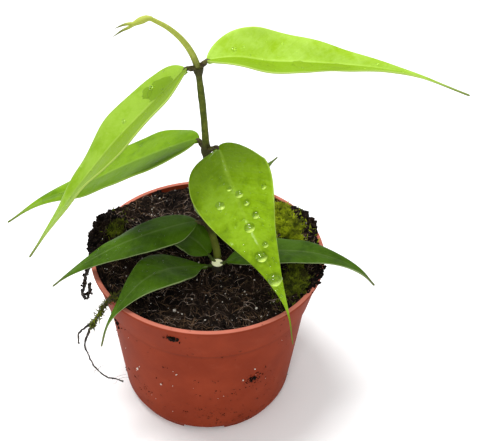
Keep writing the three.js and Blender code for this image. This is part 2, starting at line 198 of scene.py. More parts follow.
class Finish:
    def __init__(self, name, **constants):
        self.material = bpy.data.materials.new(name)
        self.material.use_nodes = True
        self.tree = self.material.node_tree
        self.skin = self.tree.nodes["Principled BSDF"]
        for key, value in constants.items():
            self.skin.inputs[key.replace("_", " ")].default_value = value

    def node(self, kind, settings=None, out=0, sockets=None):
        made = self.tree.nodes.new(kind)
        for key, value in (settings or {}).items():
            setattr(made, key, value)
        for key, value in (sockets or {}).items():
            self.feed(made.inputs[key], value)
        return Field(self, made.outputs[out])

    def feed(self, socket, value):
        if isinstance(value, Field):
            self.tree.links.new(value.socket, socket)
        elif isinstance(value, tuple) and len(value) == 3 and socket.type == "RGBA":
            socket.default_value = (*value, 1)
        else:
            socket.default_value = value

    def give(self, **values):
        for key, value in values.items():
            self.feed(self.skin.inputs[key.replace("_", " ")], value)

    def where(self):
        return self.node("ShaderNodeTexCoord", out="Object")

    def part_of(self, vector, axis):
        return self.node("ShaderNodeSeparateXYZ", out=axis, sockets={0: vector})

    def noise(self, size, detail=3.0, rough=0.5, where=None):
        sockets = {"Scale": 1 / size, "Detail": detail, "Roughness": rough}
        sockets["Vector"] = where or self.where()
        return self.node("ShaderNodeTexNoise", out="Fac", sockets=sockets)

    def mix(self, factor, first, second):
        sockets = {0: factor, 6: first, 7: second}
        return self.node("ShaderNodeMix", {"data_type": "RGBA"}, out=2, sockets=sockets)

    def bump(self, height, depth, under=None):
        sockets = {"Height": height, "Distance": depth, "Strength": 1.0}
        if under:
            sockets["Normal"] = under
        return self.node("ShaderNodeBump", sockets=sockets)


# %% [markdown]
# ## Camera, floor and light
#
# The plant is seen from a little above, so that both the pot and its soil show. It stands on
# plain white paper in a white room, under one lamp above and a weaker one in front. Both are
# fairly small, because drops and wet leaves need something small and bright to mirror.

# %% Camera
EYE = Vector((13.9, -326.4, 360.9)) * MM
LOOKS_DOWN = 39
ROLL = 1.8
bpy.ops.object.camera_add(location=EYE)
camera = bpy.context.object
camera.name = "camera"
pitch = Matrix.Rotation(math.radians(90 - LOOKS_DOWN), 4, "X")
turn = pitch @ Matrix.Rotation(math.radians(ROLL), 4, "Z")
camera.matrix_world = Matrix.Translation(EYE) @ turn
camera.data.sensor_width = 36
camera.data.lens = 71.85
camera.data.clip_start = 0.01
bpy.context.scene.camera = camera
print("camera", [round(value, 3) for value in camera.location])

# %% Floor and light
take()
bpy.ops.mesh.primitive_plane_add(size=8, location=(0, 0, 0))
floor = bpy.context.object
floor.name = "floor"
paper = Finish("white_paper", Base_Color=(0.985, 0.985, 0.985, 1), Roughness=0.9, Specular_IOR_Level=0.0)
floor.data.materials.append(paper.material)
floor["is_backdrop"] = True

world = bpy.data.worlds.new("white_room")
world.use_nodes = True
world.node_tree.nodes["Background"].inputs["Color"].default_value = (1, 1, 1, 1)
world.node_tree.nodes["Background"].inputs["Strength"].default_value = 0.66
bpy.context.scene.world = world


def lamp(name, place_at, aim, size, power):
    bpy.ops.object.light_add(type="AREA", location=place_at)
    light = bpy.context.object
    light.name = name
    light.data.shape = "DISK"
    light.data.size = size
    light.data.energy = power
    light.rotation_euler = (Vector(aim) - Vector(place_at)).to_track_quat("-Z", "Y").to_euler()


lamp("key", (-0.3, 0.1, 1.3), (0, 0, 0.1), 0.55, 16)
lamp("fill", (-0.12, -0.95, 0.95), (0, 0, 0.1), 0.35, 3.8)
bpy.context.scene.view_settings.view_transform = "Standard"
print("floor, two lamps and a white room")

# %% [markdown]
# ## The pot
#
# A nursery pot is one thin shell that comes out of a mould, so its whole section can be drawn
# by one ring of edges that is pulled up and resized again and again, as a potter pulls up a
# wall: foot, corner, wall, step, collar, lip, and down the inside to the floor. The gaps in the
# foot ring and the drain holes are cut afterwards.

# %% Pulling up a wall from a ring
POT_SIDES = 160


def pull_up(name, section, sides):
    (radius, height), *rest = section
    take()
    bpy.ops.mesh.primitive_circle_add(vertices=sides, radius=radius, location=(0, 0, height))
    piece = bpy.context.object
    piece.name = name
    mode("EDIT")
    for next_radius, next_height in rest:
        step = {"value": (0, 0, next_height - height)}
        bpy.ops.mesh.extrude_region_move(TRANSFORM_OT_translate=step)
        ratio = next_radius / radius
        bpy.ops.transform.resize(value=(ratio, ratio, 1), center_override=(0, 0, next_height))
        radius, height = next_radius, next_height
    bpy.ops.mesh.select_all(action="SELECT")
    bpy.ops.mesh.fill_holes(sides=0)
    bpy.ops.mesh.normals_make_consistent(inside=False)
    mode("OBJECT")
    settle(piece)
    return piece


def quarter(middle_radius, middle_height, size, first, last):
    turns = np.radians(np.linspace(first, last, 7))
    radii = middle_radius + size * np.cos(turns)
    heights = middle_height + size * np.sin(turns)
    return [(float(r), float(z)) for r, z in zip(radii, heights)]


# %% The pot's section
WALL = 1.2
LIP = RIM_RADIUS / MM
TOP = RIM_HEIGHT / MM
STEP_HEIGHT = TOP - 19
COLLAR = LIP - 4.9
BASE = COLLAR - 7.4
FOOT = BASE - 7 + 0.64 * 7


def wall_radius(height):
    """The pot's outside at a height, all in millimetres."""
    if height >= STEP_HEIGHT:
        return float(np.interp(height, [STEP_HEIGHT, TOP - 1.8], [COLLAR, LIP - 0.8]))
    return float(np.interp(height, [7, STEP_HEIGHT], [BASE, COLLAR - 1.3]))


section = [(0.6, 0), (8.6, 0), (9.0, 0.3), (9.6, 2.0), (FOOT - 1.6, 2.0), (FOOT - 1.5, 0.2)]
section += [(FOOT - 1.2, 0), (FOOT - 0.4, 0), (FOOT - 0.1, 0.2)]
section += quarter(BASE - 7, 7, 7, -48, 0)
section += [(wall_radius(z), z) for z in (14, 24, 34, 44, 52, 57, STEP_HEIGHT - 1.6)]
section += [(COLLAR - 1.15, STEP_HEIGHT - 0.9), (COLLAR - 0.45, STEP_HEIGHT - 0.35)]
section += [(COLLAR - 0.05, STEP_HEIGHT - 0.05), (COLLAR, STEP_HEIGHT + 0.4)]
section += [(wall_radius(z), z) for z in (64, 68, 72, 75, TOP - 2.0)]
section += [(LIP - 0.4, TOP - 1.85), (LIP - 0.05, TOP - 1.6), (LIP, TOP - 1.2), (LIP, TOP - 0.5)]
section += [(LIP - 0.15, TOP - 0.15), (LIP - 0.5, TOP), (LIP - 1.5, TOP), (LIP - 1.9, TOP - 0.15)]
section += [(wall_radius(z) - WALL, z) for z in (TOP - 1.0, 75, 70, 65, STEP_HEIGHT)]
section += [(wall_radius(z) - WALL, z) for z in (STEP_HEIGHT - 2.2, 50, 40, 30, 20, 12)]
section += quarter(BASE - 7, 9, 7 - WALL, 0, -86)
section += [(20, 3.2), (0.6, 3.2)]
pot = pull_up("pot_shell", [(r * MM, z * MM) for r, z in section], POT_SIDES)
print("pot section of", len(section), "rings")

# %% Foot gaps and drain holes
cutters = []
for i in range(4):
    take()
    angle = math.radians(90 * i - 90)
    where = (FOOT * MM * math.cos(angle), FOOT * MM * math.sin(angle), 0)
    bpy.ops.mesh.primitive_cube_add(size=1, location=where, rotation=(0, 0, angle))
    cutter = bpy.context.object
    cutter.scale = (14 * MM, 19 * MM, 3.4 * MM)
    bpy.ops.object.transform_apply(location=True, rotation=True, scale=True)
    modify(cutter, "BEVEL", width=0.6 * MM, segments=3)
    cutters.append(cutter)
for i in range(8):
    take()
    angle = math.radians(45 * (i + 0.5))
    where = (24 * MM * math.cos(angle), 24 * MM * math.sin(angle), 0)
    bpy.ops.mesh.primitive_cylinder_add(vertices=32, radius=3.4 * MM, depth=12 * MM, location=where)
    cutters.append(bpy.context.object)
cutter = join("cutter", *cutters)
modify(pot, "BOOLEAN", operation="DIFFERENCE", object=cutter, solver="EXACT")
bpy.data.objects.remove(cutter)
settle(pot, angle=32)

# %% [markdown]
# The plastic is dyed through and satin, a little chalky where hands and water have been, with a
# painted highlight along the lip, a painted shadow in a band under the collar step, and dried
# splashes of peat that gather near the foot. The splashes are thin, so they are painted by noise;
# the thicker crumbs are modelled later.

# %% Pot finish
plastic = Finish("terracotta_plastic", Specular_IOR_Level=0.04)
height = plastic.part_of(plastic.where(), "Z")
mottle = plastic.noise(0.022, detail=4, rough=0.6)
fine = plastic.noise(0.0016, detail=2)
base = plastic.mix(mottle.rise(0.3, 0.75), (0.190, 0.026, 0.009), (0.240, 0.037, 0.014))
chalk = plastic.noise(0.009, detail=6, rough=0.7).rise(0.55, 0.85) * 0.12
base = plastic.mix(chalk, base, (0.40, 0.16, 0.10))
# painted highlight: the top of the lip paler, where light falls on it from above
lip_highlight = height.rise(RIM_HEIGHT - 0.5 * MM, RIM_HEIGHT - 0.15 * MM)
base = plastic.mix(lip_highlight * (0.3 + 0.5 * mottle), base, (0.68, 0.24, 0.17))
# painted shadow: a darker band just under the collar step
step_shadow = height.rise((STEP_HEIGHT - 4) * MM, (STEP_HEIGHT - 0.3) * MM)
step_shadow = step_shadow * height.rise((STEP_HEIGHT + 0.1) * MM, (STEP_HEIGHT - 0.3) * MM)
base = plastic.mix(step_shadow * 0.55, base, (0.075, 0.014, 0.006))
splash = plastic.noise(0.0021, detail=5, rough=0.72)
reach = plastic.noise(0.016, detail=2)
low = height.rise(0.045, 0.004) * 0.05
speck = (splash + low + (reach - 0.5) * 0.3).rise(0.665, 0.72)
base = plastic.mix(speck * 0.8, base, (0.040, 0.016, 0.008))
plastic.give(Base_Color=base, Roughness=0.48 + 0.2 * mottle + 0.25 * speck + 0.2 * chalk)
grain = plastic.bump(fine, 0.00005)
plastic.give(Normal=plastic.bump(speck, 0.00025, under=grain))
pot.data.materials.append(plastic.material)
place(pot, "pot_terracotta", "pot")

# %% [markdown]
# ## The peat
#
# Peat is a crust of lumps and crumbs with pale root fibres and a few white grains in it. Its
# large form, which heaps over the rim on two sides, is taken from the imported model: a merged
# copy is remeshed evenly and then pushed about by cloud textures, coarse ones first. Loose
# crumbs, fibres and grains are modelled once and scattered.


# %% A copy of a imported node, ready to work on
def copy_of(node, name):
    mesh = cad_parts[node].data.copy()
    mesh.materials.clear()
    piece = new_piece(name, mesh)
    take(piece)
    mode("EDIT")
    bpy.ops.mesh.select_all(action="SELECT")
    bpy.ops.mesh.remove_doubles(threshold=0.01 * MM)
    mode("OBJECT")
    return piece


def points_and_normals(piece):
    count = len(piece.data.vertices)
    points = np.empty(count * 3, np.float32)
    normals = np.empty(count * 3, np.float32)
    piece.data.vertices.foreach_get("co", points)
    piece.data.vertices.foreach_get("normal", normals)
    return points.reshape(-1, 3), normals.reshape(-1, 3)


def weigh(piece, name, weights):
    group = piece.vertex_groups.new(name=name)
    for i in np.nonzero(weights > 0)[0]:
        group.add([int(i)], float(weights[i]), "REPLACE")
    return name


def clouds(name, size, depth=3):
    texture = bpy.data.textures.new(name, "CLOUDS")
    texture.noise_scale = size
    texture.noise_depth = depth
    return texture


# %% The crust
soil = copy_of("soil", "peat")
modify(soil, "REMESH", mode="VOXEL", voxel_size=0.95 * MM)
modify(soil, "SUBSURF", levels=1, render_levels=1)
points, normals = points_and_normals(soil)
up = np.clip((normals[:, 2] - 0.25) / 0.4, 0, 1) * (points[:, 2] > RIM_HEIGHT - 9 * MM)
heap = np.clip((points[:, 2] - RIM_HEIGHT - 0.9 * MM) / (1.5 * MM), 0, 1)
weigh(soil, "up", up)
weigh(soil, "heap", heap)
lumps = clouds("lumps", 6 * MM, depth=2)
crumble = clouds("crumble", 2.2 * MM, depth=4)
rough = {"mid_level": 0.5, "texture_coords": "GLOBAL"}
modify(soil, "DISPLACE", texture=lumps, strength=4.5 * MM, direction="Z", vertex_group="up", **rough)
modify(soil, "DISPLACE", texture=crumble, strength=3.4 * MM, direction="Z", vertex_group="up", **rough)
modify(
    soil, "DISPLACE", texture=crumble, strength=4.5 * MM, direction="NORMAL", vertex_group="heap", **rough
)
soil.vertex_groups.clear()
modify(soil, "DECIMATE", ratio=0.45)
settle(soil, angle=60)
points, normals = points_and_normals(soil)
crust = points[(normals[:, 2] > 0.2) & (points[:, 2] > RIM_HEIGHT - 9 * MM)]
print("crust of", len(points), "points,", len(crust), "on top")

# %% Peat finish
peat = Finish("dark_peat", Specular_IOR_Level=0.06)
grit = peat.noise(0.0011, detail=5, rough=0.7)
patch = peat.noise(0.012, detail=3)
brown = peat.mix(patch.rise(0.35, 0.7), (0.0030, 0.0022, 0.0020), (0.014, 0.008, 0.005))
brown = peat.mix(grit.rise(0.54, 0.72), brown, (0.085, 0.052, 0.038))
peat.give(Base_Color=brown, Roughness=0.75 + 0.2 * grit)
peat.give(Normal=peat.bump(grit, 0.0006))
soil.data.materials.append(peat.material)
place(soil, "soil_peat", "soil")

# %% [markdown]
# Scattered things need a surface to lie on. A ray from above finds the crust at any place.
# Each model of a crumb is a coarse ball whose corners are pushed about, and each copy is turned
# and scaled by itself.

# %% Finding the surface
ground = BVHTree.FromObject(soil, bpy.context.evaluated_depsgraph_get())


def drop_to_ground(x, y):
    hit, normal, _, _ = ground.ray_cast(Vector((x, y, 0.2)), Vector((0, 0, -1)))
    return (hit, normal) if hit and hit.z > RIM_HEIGHT - 12 * MM else (None, None)


# %% Crumb models and scattering
def crumb_model(seed, jag=0.28):
    luck = random.Random(seed)
    take()
    bpy.ops.mesh.primitive_ico_sphere_add(subdivisions=1, radius=1)
    model = bpy.context.object
    for vertex in model.data.vertices:
        vertex.co *= 1 + luck.uniform(-jag, jag)
    return model


def scatter(name, models, places):
    """Copies of the models at (point, size, squash) places, joined into one piece."""
    luck = random.Random(name)
    copies = []
    for point, size, squash in places:
        model = luck.choice(models)
        copy = new_piece(name, model.data.copy())
        turn = Matrix.Rotation(luck.uniform(0, 6.28), 4, (luck.random(), luck.random(), 0.3))
        shape = Matrix.Diagonal((size, size * luck.uniform(0.6, 1), size * squash, 1))
        copy.data.transform(Matrix.Translation(point) @ turn @ shape)
        copies.append(copy)
    for model in models:
        bpy.data.objects.remove(model)
    return join(name, *copies)


# %% Chance
luck = random.Random(4)


def any_way():
    return Vector([luck.uniform(-1, 1) for _ in range(3)])


def on_soil():
    """A place on the soil, with all of it equally likely."""
    angle, share = luck.uniform(0, 6.28), math.sqrt(luck.random())
    return SOIL_REACH * share * math.cos(angle), SOIL_REACH * share * math.sin(angle)


# %% Peat crumbs
spots = [vector(crust[luck.randrange(len(crust))]) for _ in range(1500)]
sizes = (0.35, 0.5, 0.5, 0.8, 1.2)
crumbs = [(spot, luck.choice(sizes) * MM * luck.uniform(0.7, 1.4), 0.7) for spot in spots]
outer = np.hypot(points[:, 0], points[:, 1]) > 46 * MM
heaped = points[(points[:, 2] > RIM_HEIGHT + 1.2 * MM) & outer]
for _ in range(520):
    spot = vector(heaped[luck.randrange(len(heaped))])
    crumbs.append((spot, luck.choice((0.35, 0.5, 0.7, 1.0, 1.5)) * MM, 0.8))
for _ in range(90):
    angle = math.radians(luck.gauss(342, 6))
    reach = RIM_RADIUS - luck.uniform(-0.4, 2.4) * MM
    level = RIM_HEIGHT + luck.uniform(-0.3, 0.8) * MM
    spot = Vector((reach * math.cos(angle), reach * math.sin(angle), level))
    crumbs.append((spot, luck.uniform(0.3, 1.1) * MM, 0.7))
loose = scatter("peat_crumbs", [crumb_model(i) for i in range(4)], crumbs)
dress(loose, peat.material, "soil_peat", angle=20)

# %% White grains
grains = []
while len(grains) < 520:
    hit, normal = drop_to_ground(*on_soil())
    if hit:
        size = luck.choice((0.12, 0.14, 0.18, 0.24, 0.34, 0.5)) * MM
        grains.append((hit + 0.1 * MM * normal, size, 0.8))
for x, y, size in ((-13, -34, 0.95), (8, -41, 0.8), (22, -33, 0.7), (-24, -20, 0.6), (30, -22, 0.6)):
    hit, normal = drop_to_ground(x * MM, y * MM)
    grains.append((hit + 0.3 * MM * normal, size * MM, 0.85))
grit_piece = scatter("white_grains", [crumb_model(10 + i, jag=0.2) for i in range(3)], grains)
perlite = Finish("white_grain", Roughness=0.7)
perlite.give(Base_Color=perlite.mix(perlite.noise(0.0005), (0.75, 0.72, 0.66), (0.45, 0.40, 0.33)))
dress(grit_piece, perlite.material, "soil_peat", angle=30)

# %% [markdown]
# Fibres, roots, stems and moss strands are all long thin things, so they share one maker: a
# curve with a thickness at each point, turned into mesh. A fibre is walked over the crust in
# small steps, with its direction wandering a little at each.


# %% Strands
def strands(name, paths, sides=1):
    """One mesh of round strands; each path is a list of (point, radius)."""
    data = bpy.data.curves.new(name, "CURVE")
    data.dimensions = "3D"
    data.bevel_depth = 1
    data.bevel_resolution = sides
    data.use_fill_caps = True
    for path in paths:
        spline = data.splines.new("POLY")
        spline.points.add(len(path) - 1)
        for knot, (point, radius) in zip(spline.points, path):
            knot.co = (*point, 1)
            knot.radius = radius
    piece = new_piece(name, data)
    take(piece)
    bpy.ops.object.convert(target="MESH")
    return bpy.context.object


def wander(x, y, steps, stride, thick):
    heading = luck.uniform(0, 6.28)
    bend = luck.uniform(-0.12, 0.12)
    path = []
    lift = luck.uniform(0.1, 0.5) * MM
    for i in range(steps):
        hit, _ = drop_to_ground(x, y)
        if not hit or math.hypot(x, y) > SOIL_REACH:
            break
        arch = math.sin(math.pi * i / steps) * lift * 3
        path.append((hit + Vector((0, 0, lift + arch)), thick))
        heading += bend + luck.uniform(-0.35, 0.35)
        x += stride * math.cos(heading)
        y += stride * math.sin(heading)
    for i in range(1, len(path) - 1):
        smooth = (path[i - 1][0] + path[i][0] + path[i + 1][0]) / 3
        path[i] = (smooth, path[i][1])
    return path


# %% Root fibres
def fibres(name, many, thick, dark, light):
    paths = []
    for _ in range(many):
        x, y = on_soil()
        path = wander(x, y, luck.randint(4, 11), 0.75 * MM, luck.choice(thick) * MM)
        if len(path) > 3:
            paths.append(path)
    piece = strands(name, paths)
    straw = Finish(name + "_straw", Roughness=0.8, Specular_IOR_Level=0.1)
    straw.give(Base_Color=straw.mix(straw.noise(0.005).rise(0.35, 0.65), dark, light))
    dress(piece, straw.material, "soil_peat")


fibres("brown_fibres", 1500, (0.04, 0.06, 0.08), (0.014, 0.009, 0.006), (0.150, 0.090, 0.050))
fibres("pale_fibres", 620, (0.03, 0.04, 0.05, 0.08), (0.07, 0.048, 0.036), (0.42, 0.32, 0.26))

# %% [markdown]
# ## Moss
#
# Moss grows in cushions of short upright shoots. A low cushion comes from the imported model,
# and each shoot on it is a short strand, thick at its middle and pointed at its end. Some stray
# shoots stand round the cushion, so that it has no hard edge.


# %% Moss finishes
def moss_finish(name, shade, light, straw, dead=0.0):
    green = Finish(name, Roughness=0.85, Specular_IOR_Level=0.1)
    tuft = green.noise(0.0035, detail=4, rough=0.7)
    leafy = green.mix(tuft.rise(0.36, 0.62), shade, light)
    leafy = green.mix(green.noise(0.0012).rise(0.56, 0.8) * 0.6, leafy, straw)
    leafy = green.mix(green.noise(0.009, detail=4).rise(0.5, 0.62) * dead, leafy, (0.030, 0.022, 0.008))
    green.give(Base_Color=leafy, Normal=green.bump(tuft, 0.0008))
    return green.material


bright_moss = moss_finish(
    "bright_moss", (0.060, 0.085, 0.003), (0.36, 0.44, 0.012), (0.50, 0.52, 0.05), dead=0.35
)
dark_moss = moss_finish(
    "dark_moss", (0.024, 0.032, 0.004), (0.135, 0.170, 0.008), (0.27, 0.26, 0.06), dead=0.7
)


# %% Moss cushions
def moss(node, finish, shoots, spread, length):
    cushion = copy_of(node, node + "_cushion")
    modify(cushion, "REMESH", mode="VOXEL", voxel_size=0.8 * MM)
    modify(cushion, "DISPLACE", texture=crumble, strength=2.4 * MM, **rough)
    spots, normals = points_and_normals(cushion)
    low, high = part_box(node)
    middle = (low + high) / 2
    tops = spots[normals[:, 2] > 0.1]
    paths = []
    for i in range(shoots):
        x, y, z = tops[luck.randrange(len(tops))].tolist()
        if i % 4 == 0:
            x = middle.x + (x - middle.x) * luck.uniform(1, spread)
            y = middle.y + (y - middle.y) * luck.uniform(1, spread)
        hit, _ = drop_to_ground(x, y)
        if not hit or math.hypot(x, y) > 54 * MM:
            continue
        foot = Vector((x, y, max(z if i % 4 else 0, hit.z) - 0.3 * MM))
        lean = Vector((luck.uniform(-1, 1), luck.uniform(-1, 1), luck.uniform(0.5, 1.4)))
        lean.normalize()
        tall = length * luck.uniform(0.5, 1.1)
        wide = luck.uniform(0.14, 0.27) * MM
        drift = Vector((luck.uniform(-1, 1), luck.uniform(-1, 1), 0)) * 0.2 * tall
        path = [(foot, wide * 0.7), (foot + lean * tall * 0.4, wide)]
        path.append((foot + lean * tall * 0.75 + drift, wide * 0.8))
        path.append((foot + lean * tall + drift * 1.6, wide * 0.1))
        paths.append(path)
    piece = join(node + "_live", cushion, strands("shoots", paths, sides=0))
    piece.data.materials.clear()
    dress(piece, finish, "moss_green", node, angle=60)


moss("moss_back_right", bright_moss, 3000, 2.0, 2.6 * MM)
moss("moss_front_right", dark_moss, 1500, 2.1, 2.2 * MM)
moss("moss_left", dark_moss, 560, 2.6, 2.2 * MM)

# %% [markdown]
# ## Curves through the plant
#
# Each stem and each leaf's midrib follows a smooth curve through a few points, the same ones
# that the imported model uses: plant heights are counted from the soil, and points near the rim
# are given by direction, distance outside it and height above it.


# %% Smooth curves
def at(x, y, rise):
    return np.array((x, y, SOIL_LEVEL / MM + rise)) * MM


def by_rim(degrees, out, rise):
    angle = math.radians(degrees)
    radius = RIM_RADIUS / MM + out
    return np.array((radius * math.cos(angle), radius * math.sin(angle), TOP + rise)) * MM


class Line:
    """A smooth curve through points, read by its share of length from 0 to 1."""

    def __init__(self, knots, each=24):
        knots = [np.asarray(knot, float) for knot in knots]
        knots = [2 * knots[0] - knots[1], *knots, 2 * knots[-1] - knots[-2]]
        found = []
        for a, b, c, d in zip(knots, knots[1:], knots[2:], knots[3:]):
            ab, bc, cd = (max(np.linalg.norm(q - p), 1e-6) ** 0.5 for p, q in ((a, b), (b, c), (c, d)))
            start = ((b - a) / ab - (c - a) / (ab + bc) + (c - b) / bc) * bc
            end = ((c - b) / bc - (d - b) / (bc + cd) + (d - c) / cd) * bc
            w = np.linspace(0, 1, each, endpoint=False)[:, None]
            bow = (2 * b - 2 * c + start + end) * w**3 + (3 * c - 3 * b - 2 * start - end) * w**2
            found.append(b + start * w + bow)
        self.points = np.vstack([*found, knots[-2]])
        steps = np.linalg.norm(np.diff(self.points, axis=0), axis=1)
        self.along = np.concatenate([[0], np.cumsum(steps)])
        self.length = self.along[-1]

    def read(self, shares):
        reach = np.asarray(shares) * self.length
        return np.stack([np.interp(reach, self.along, self.points[:, k]) for k in range(3)], -1)

    def direction(self, shares):
        shares = np.asarray(shares, float)
        ahead = self.read(np.minimum(shares + 0.004, 1)) - self.read(np.maximum(shares - 0.004, 0))
        return ahead / np.linalg.norm(ahead, axis=-1, keepdims=True)


def tube(line, radius, count):
    shares = np.linspace(0, 1, count)
    return [(vector(point), radius(share)) for share, point in zip(shares, line.read(shares))]


# %% [markdown]
# ## Stems
#
# The vine is green wood under a thin grey-brown skin, swollen and purple-brown at the nodes
# where leaf pairs leave it. The old cutting beside it was cut off flat, and its pale cut face
# shows a ring of wood round the pith. The new shoot is soft, smooth and yellow-green.

# %% The vine
NODES = {"low": at(0.4, -1, 19.9), "middle": at(-1, -1, 59.3), "top": at(-4.2, -1, 97.8)}
CUT_TOP = at(4.5, -7.6, 3.3)
vine_knots = [at(4.2, -2.6, -2.5), at(4.2, -2.4, 1.5), at(4.0, -2.4, 5), at(2.6, -2, 12), NODES["low"]]
vine_knots += [
    at(-0.8, -1, 38), NODES["middle"], at(-2.2, -1, 78), NODES["top"], NODES["top"] + (0, 0, 0.4 * MM)
]
vine_line = Line(vine_knots)


def vine_radius(share):
    here = vine_line.read([share])[0]
    nearest = min(np.linalg.norm(node - here) for node in NODES.values())
    plain = 1.75 - 0.4 * share + 0.06 * math.sin(31 * share)
    swell = max(0, 1 - nearest / (4.2 * MM))
    return (plain + (2.25 - plain) * swell**2 * (3 - 2 * swell)) * MM


vine = strands("vine", [tube(vine_line, vine_radius, 150)], sides=4)
bark = clouds("bark", 3 * MM)
modify(vine, "DISPLACE", texture=bark, strength=0.35 * MM, **rough)
settle(vine, angle=60)

# %% Stem finish
skin = Finish("green_bark", Specular_IOR_Level=0.12)
flecks = skin.noise(0.0028, detail=5, rough=0.65)
z = skin.part_of(skin.where(), "Z")
heights = [float(node[2]) for node in NODES.values()]
close = abs(z - heights[0]).rise(5.5 * MM, 1.5 * MM)
for level in heights[1:]:
    close = close.most(abs(z - level).rise(6.5 * MM, 1.5 * MM))
olive = skin.mix(flecks.rise(0.35, 0.7), (0.050, 0.068, 0.005), (0.120, 0.140, 0.016))
# painted light: paler towards the soil, to lift the shade that falls on the stem's foot
olive = skin.mix(z.rise(SOIL_LEVEL + 18 * MM, SOIL_LEVEL + 6 * MM) * 0.6, olive, (0.19, 0.22, 0.035))
olive = skin.mix(close * 0.75, olive, (0.035, 0.026, 0.014))
skin.give(Base_Color=olive, Roughness=0.45 + 0.3 * flecks, Normal=skin.bump(flecks, 0.0004))
vine.data.materials.append(skin.material)
place(vine, "stem_bark", "vine_stem")

# %% The old cutting
take()
bpy.ops.mesh.primitive_cylinder_add(
    vertices=40, radius=2.6 * MM, depth=10 * MM, location=(*CUT_TOP[:2], CUT_TOP[2] - 5 * MM)
)
stub = bpy.context.object
stub.name = "cut_stem"
mode("EDIT")
bpy.ops.mesh.select_all(action="DESELECT")
mode("OBJECT")
for face in stub.data.polygons:
    face.select = face.normal.z > 0.9
mode("EDIT")
for thickness, depth in ((0.06, 0.04), (0.5, -0.1), (0.6, -0.05), (0.5, 0.12)):
    bpy.ops.mesh.inset(thickness=thickness * MM, depth=depth * MM)
mode("OBJECT")
modify(stub, "SUBSURF", levels=2, render_levels=2)
modify(stub, "DISPLACE", texture=bark, strength=0.25 * MM, **rough)
settle(stub, angle=50)
cut = Finish("fresh_cut", Roughness=0.6)
z = cut.part_of(cut.where(), "Z")
face = z.rise(CUT_TOP[2] - 0.3 * MM, CUT_TOP[2] - 0.12 * MM)
wood = cut.mix(cut.noise(0.0012, detail=4).rise(0.4, 0.7), (0.97, 0.98, 0.66), (0.86, 0.86, 0.48))
husk = cut.mix(cut.noise(0.002, detail=5).rise(0.4, 0.7), (0.014, 0.011, 0.006), (0.045, 0.040, 0.016))
cut.give(Base_Color=cut.mix(face, husk, wood), Normal=cut.bump(cut.noise(0.0008), 0.0002))
stub.data.materials.append(cut.material)
place(stub, "stem_bark", "old_cutting")

# %% The new shoot and its bud
shoot_line = Line(
    [NODES["top"], at(-6.4, -2, 104.4), at(-10, -4, 111.3), at(-15, -6, 117.2), at(-21.3, -8, 121.9)]
)
bud_line = Line(
    [at(-20.6, -7.8, 121.7), at(-22.4, -8.1, 121.9), at(-24.6, -8.5, 121.2), at(-28.3, -9, 119.4)]
)
upper_line = Line(
    [at(-27.2, -9, 120.0), at(-29.4, -9.6, 120.2), at(-31.6, -10, 119.7), at(-34.1, -10.4, 118.6)]
)
lower_line = Line(
    [at(-27.3, -8.6, 119.6), at(-29.4, -8.3, 118.0), at(-31.8, -8.1, 116.6), at(-35.4, -7.8, 113.8)]
)
parts = [
    tube(shoot_line, lambda s: (1.45 - 0.6 * s) * MM, 40),
    tube(bud_line, lambda s: (0.85 + 0.55 * math.sin(math.pi * min(1, s * 1.1)) ** 1.5) * MM, 20),
    tube(upper_line, lambda s: (0.72 - 0.62 * s**1.4) * MM, 14),
    tube(lower_line, lambda s: (0.72 - 0.62 * s**1.4) * MM, 14),
]
shoot = strands("tip_shoot", parts, sides=4)
settle(shoot, angle=60)
soft = Finish("young_shoot", Roughness=0.5, Specular_IOR_Level=0.15)
z = soft.part_of(soft.where(), "Z")
x = soft.part_of(soft.where(), "X")
speckle = soft.noise(0.0016, detail=4)
tender = soft.mix(
    z.rise(NODES["top"][2], NODES["top"][2] + 9 * MM), (0.10, 0.11, 0.014), (0.34, 0.39, 0.060)
)
tender = soft.mix(speckle.rise(0.5, 0.75) * 0.3, tender, (0.58, 0.58, 0.20))
tip = x.rise(-28 * MM, -33 * MM)
tender = soft.mix(tip * 0.8, tender, (0.075, 0.085, 0.03))
soft.give(Base_Color=tender, Normal=soft.bump(speckle, 0.0002))
shoot.data.materials.append(soft.material)
place(shoot, "shoot_young", "new_shoot", "tip_bud", "bud_leaf_upper", "bud_leaf_lower")

# %% [markdown]
# ## Leaves
#
# A hoya leaf is thick and waxy, with a sunken midrib, a thin pale margin and a long point. A
# flat blank is the easiest start: a grid that is long and narrow, unfolded, with its own UV
# map. Its rows are then laid along the midrib's curve, each as wide as the leaf is there and
# folded up a little on both sides. No operator bends a sheet along a free curve, so the points
# are placed in code. Solidify gives the blade its flesh, and the midrib is a thinning strand
# under it.

